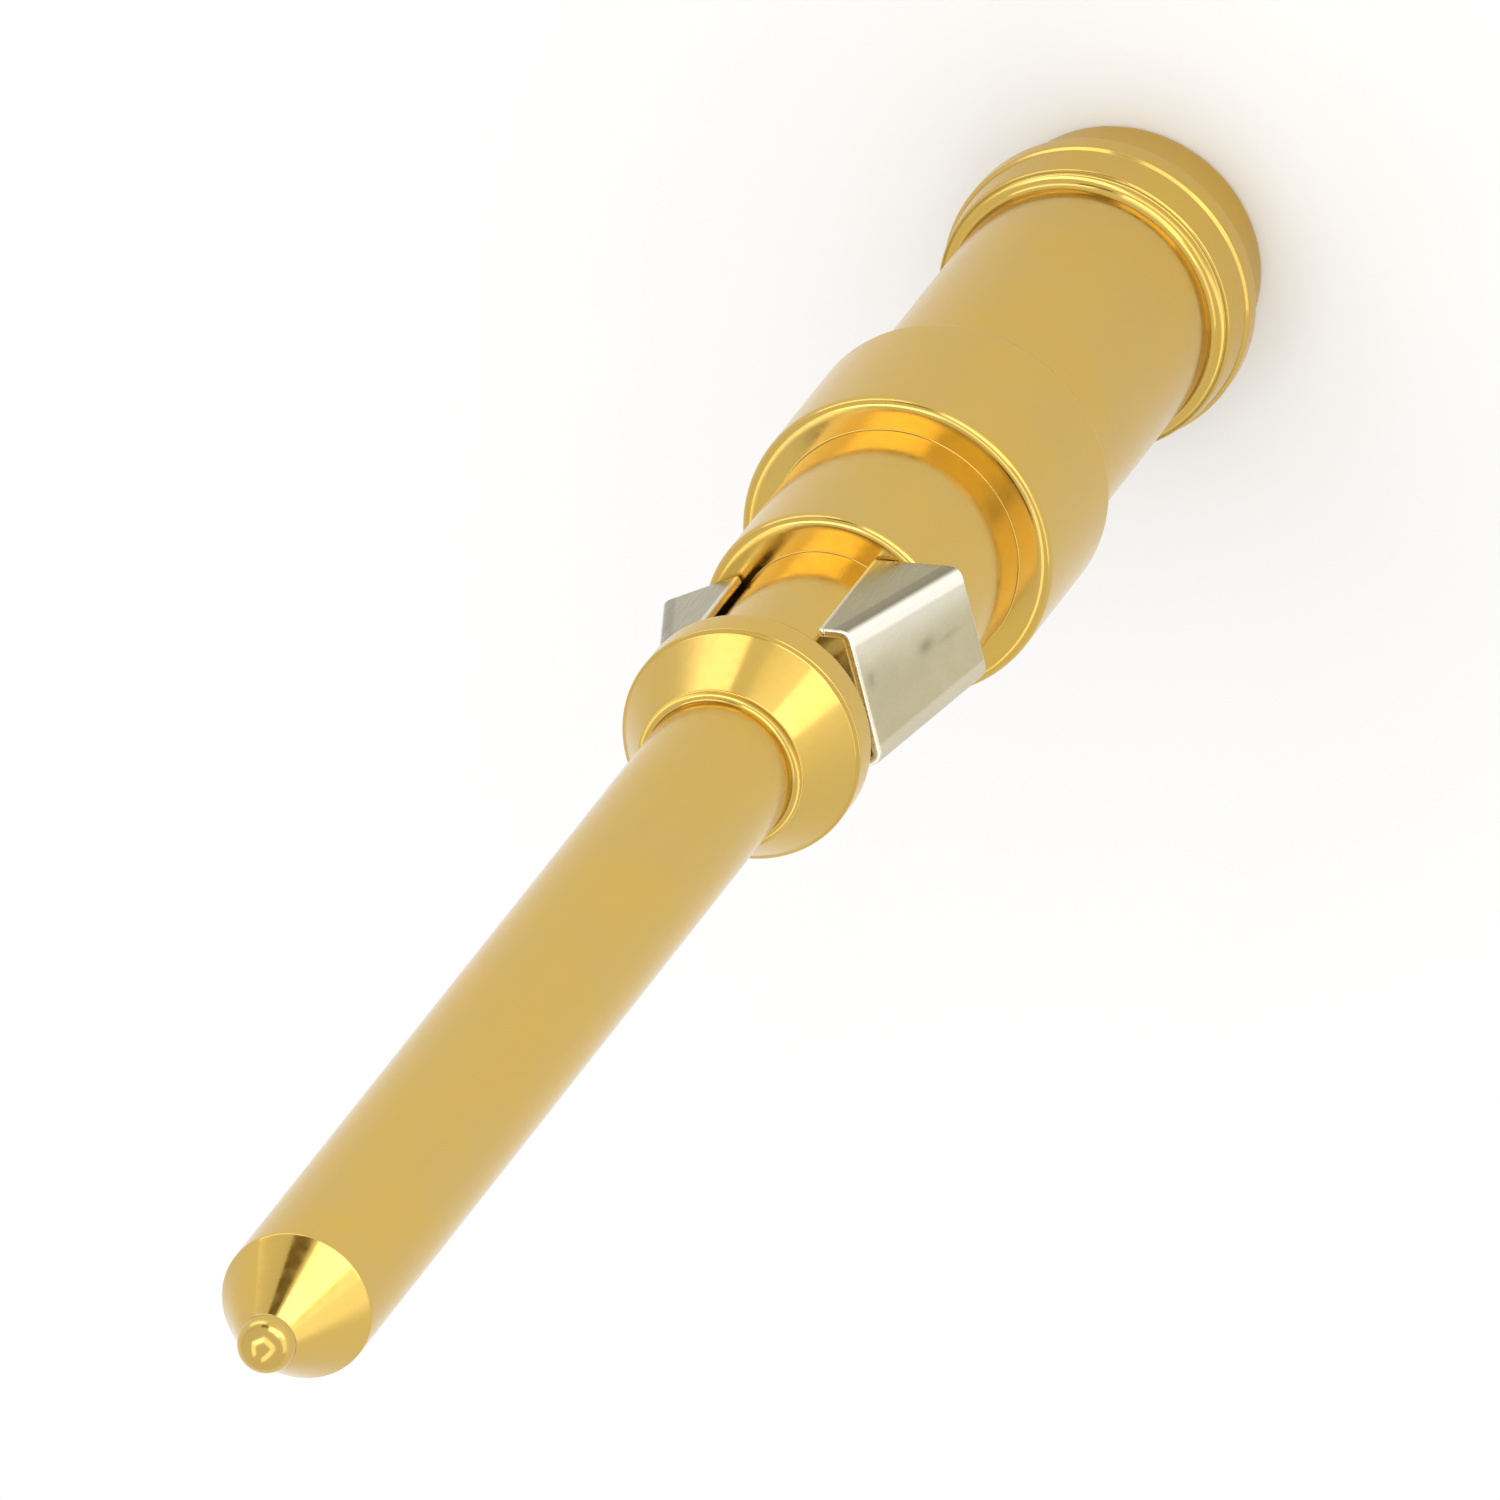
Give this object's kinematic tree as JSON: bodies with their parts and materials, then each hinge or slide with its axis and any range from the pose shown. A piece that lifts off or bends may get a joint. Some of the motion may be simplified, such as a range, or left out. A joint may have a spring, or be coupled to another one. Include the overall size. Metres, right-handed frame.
{
  "type": "crimp contact pin",
  "caption": "Turned gold-plated male crimp contact: slim mating pin, collar, flange and wire barrel, with a folded steel retention clip on its neck.",
  "frame": {"origin": "on the contact's axis, at the flat end of the wire barrel, which it stands on", "axes": "+Z along the axis from the wire barrel to the mating tip; -Y through the opening of the clip; the clip's two tines point along +X and -X"},
  "size_m": [0.0034, 0.0034, 0.0295],
  "materials": {
    "gold_plate": "satin gold plating over copper alloy, polished on its turned shoulders",
    "clip_steel": "fine satin stainless sheet with bright folds"
  },
  "bodies": {
    "contact": {"contact_body": "gold_plate"},
    "clip": {"retention_clip": "clip_steel"}
  },
  "joints": [
    {"name": "clip_spin", "type": "hinge", "parent": "contact", "child": "clip", "pos_m": [0, 0, 0.0116], "axis": [0, 0, 1], "continuous": true}
  ]
}
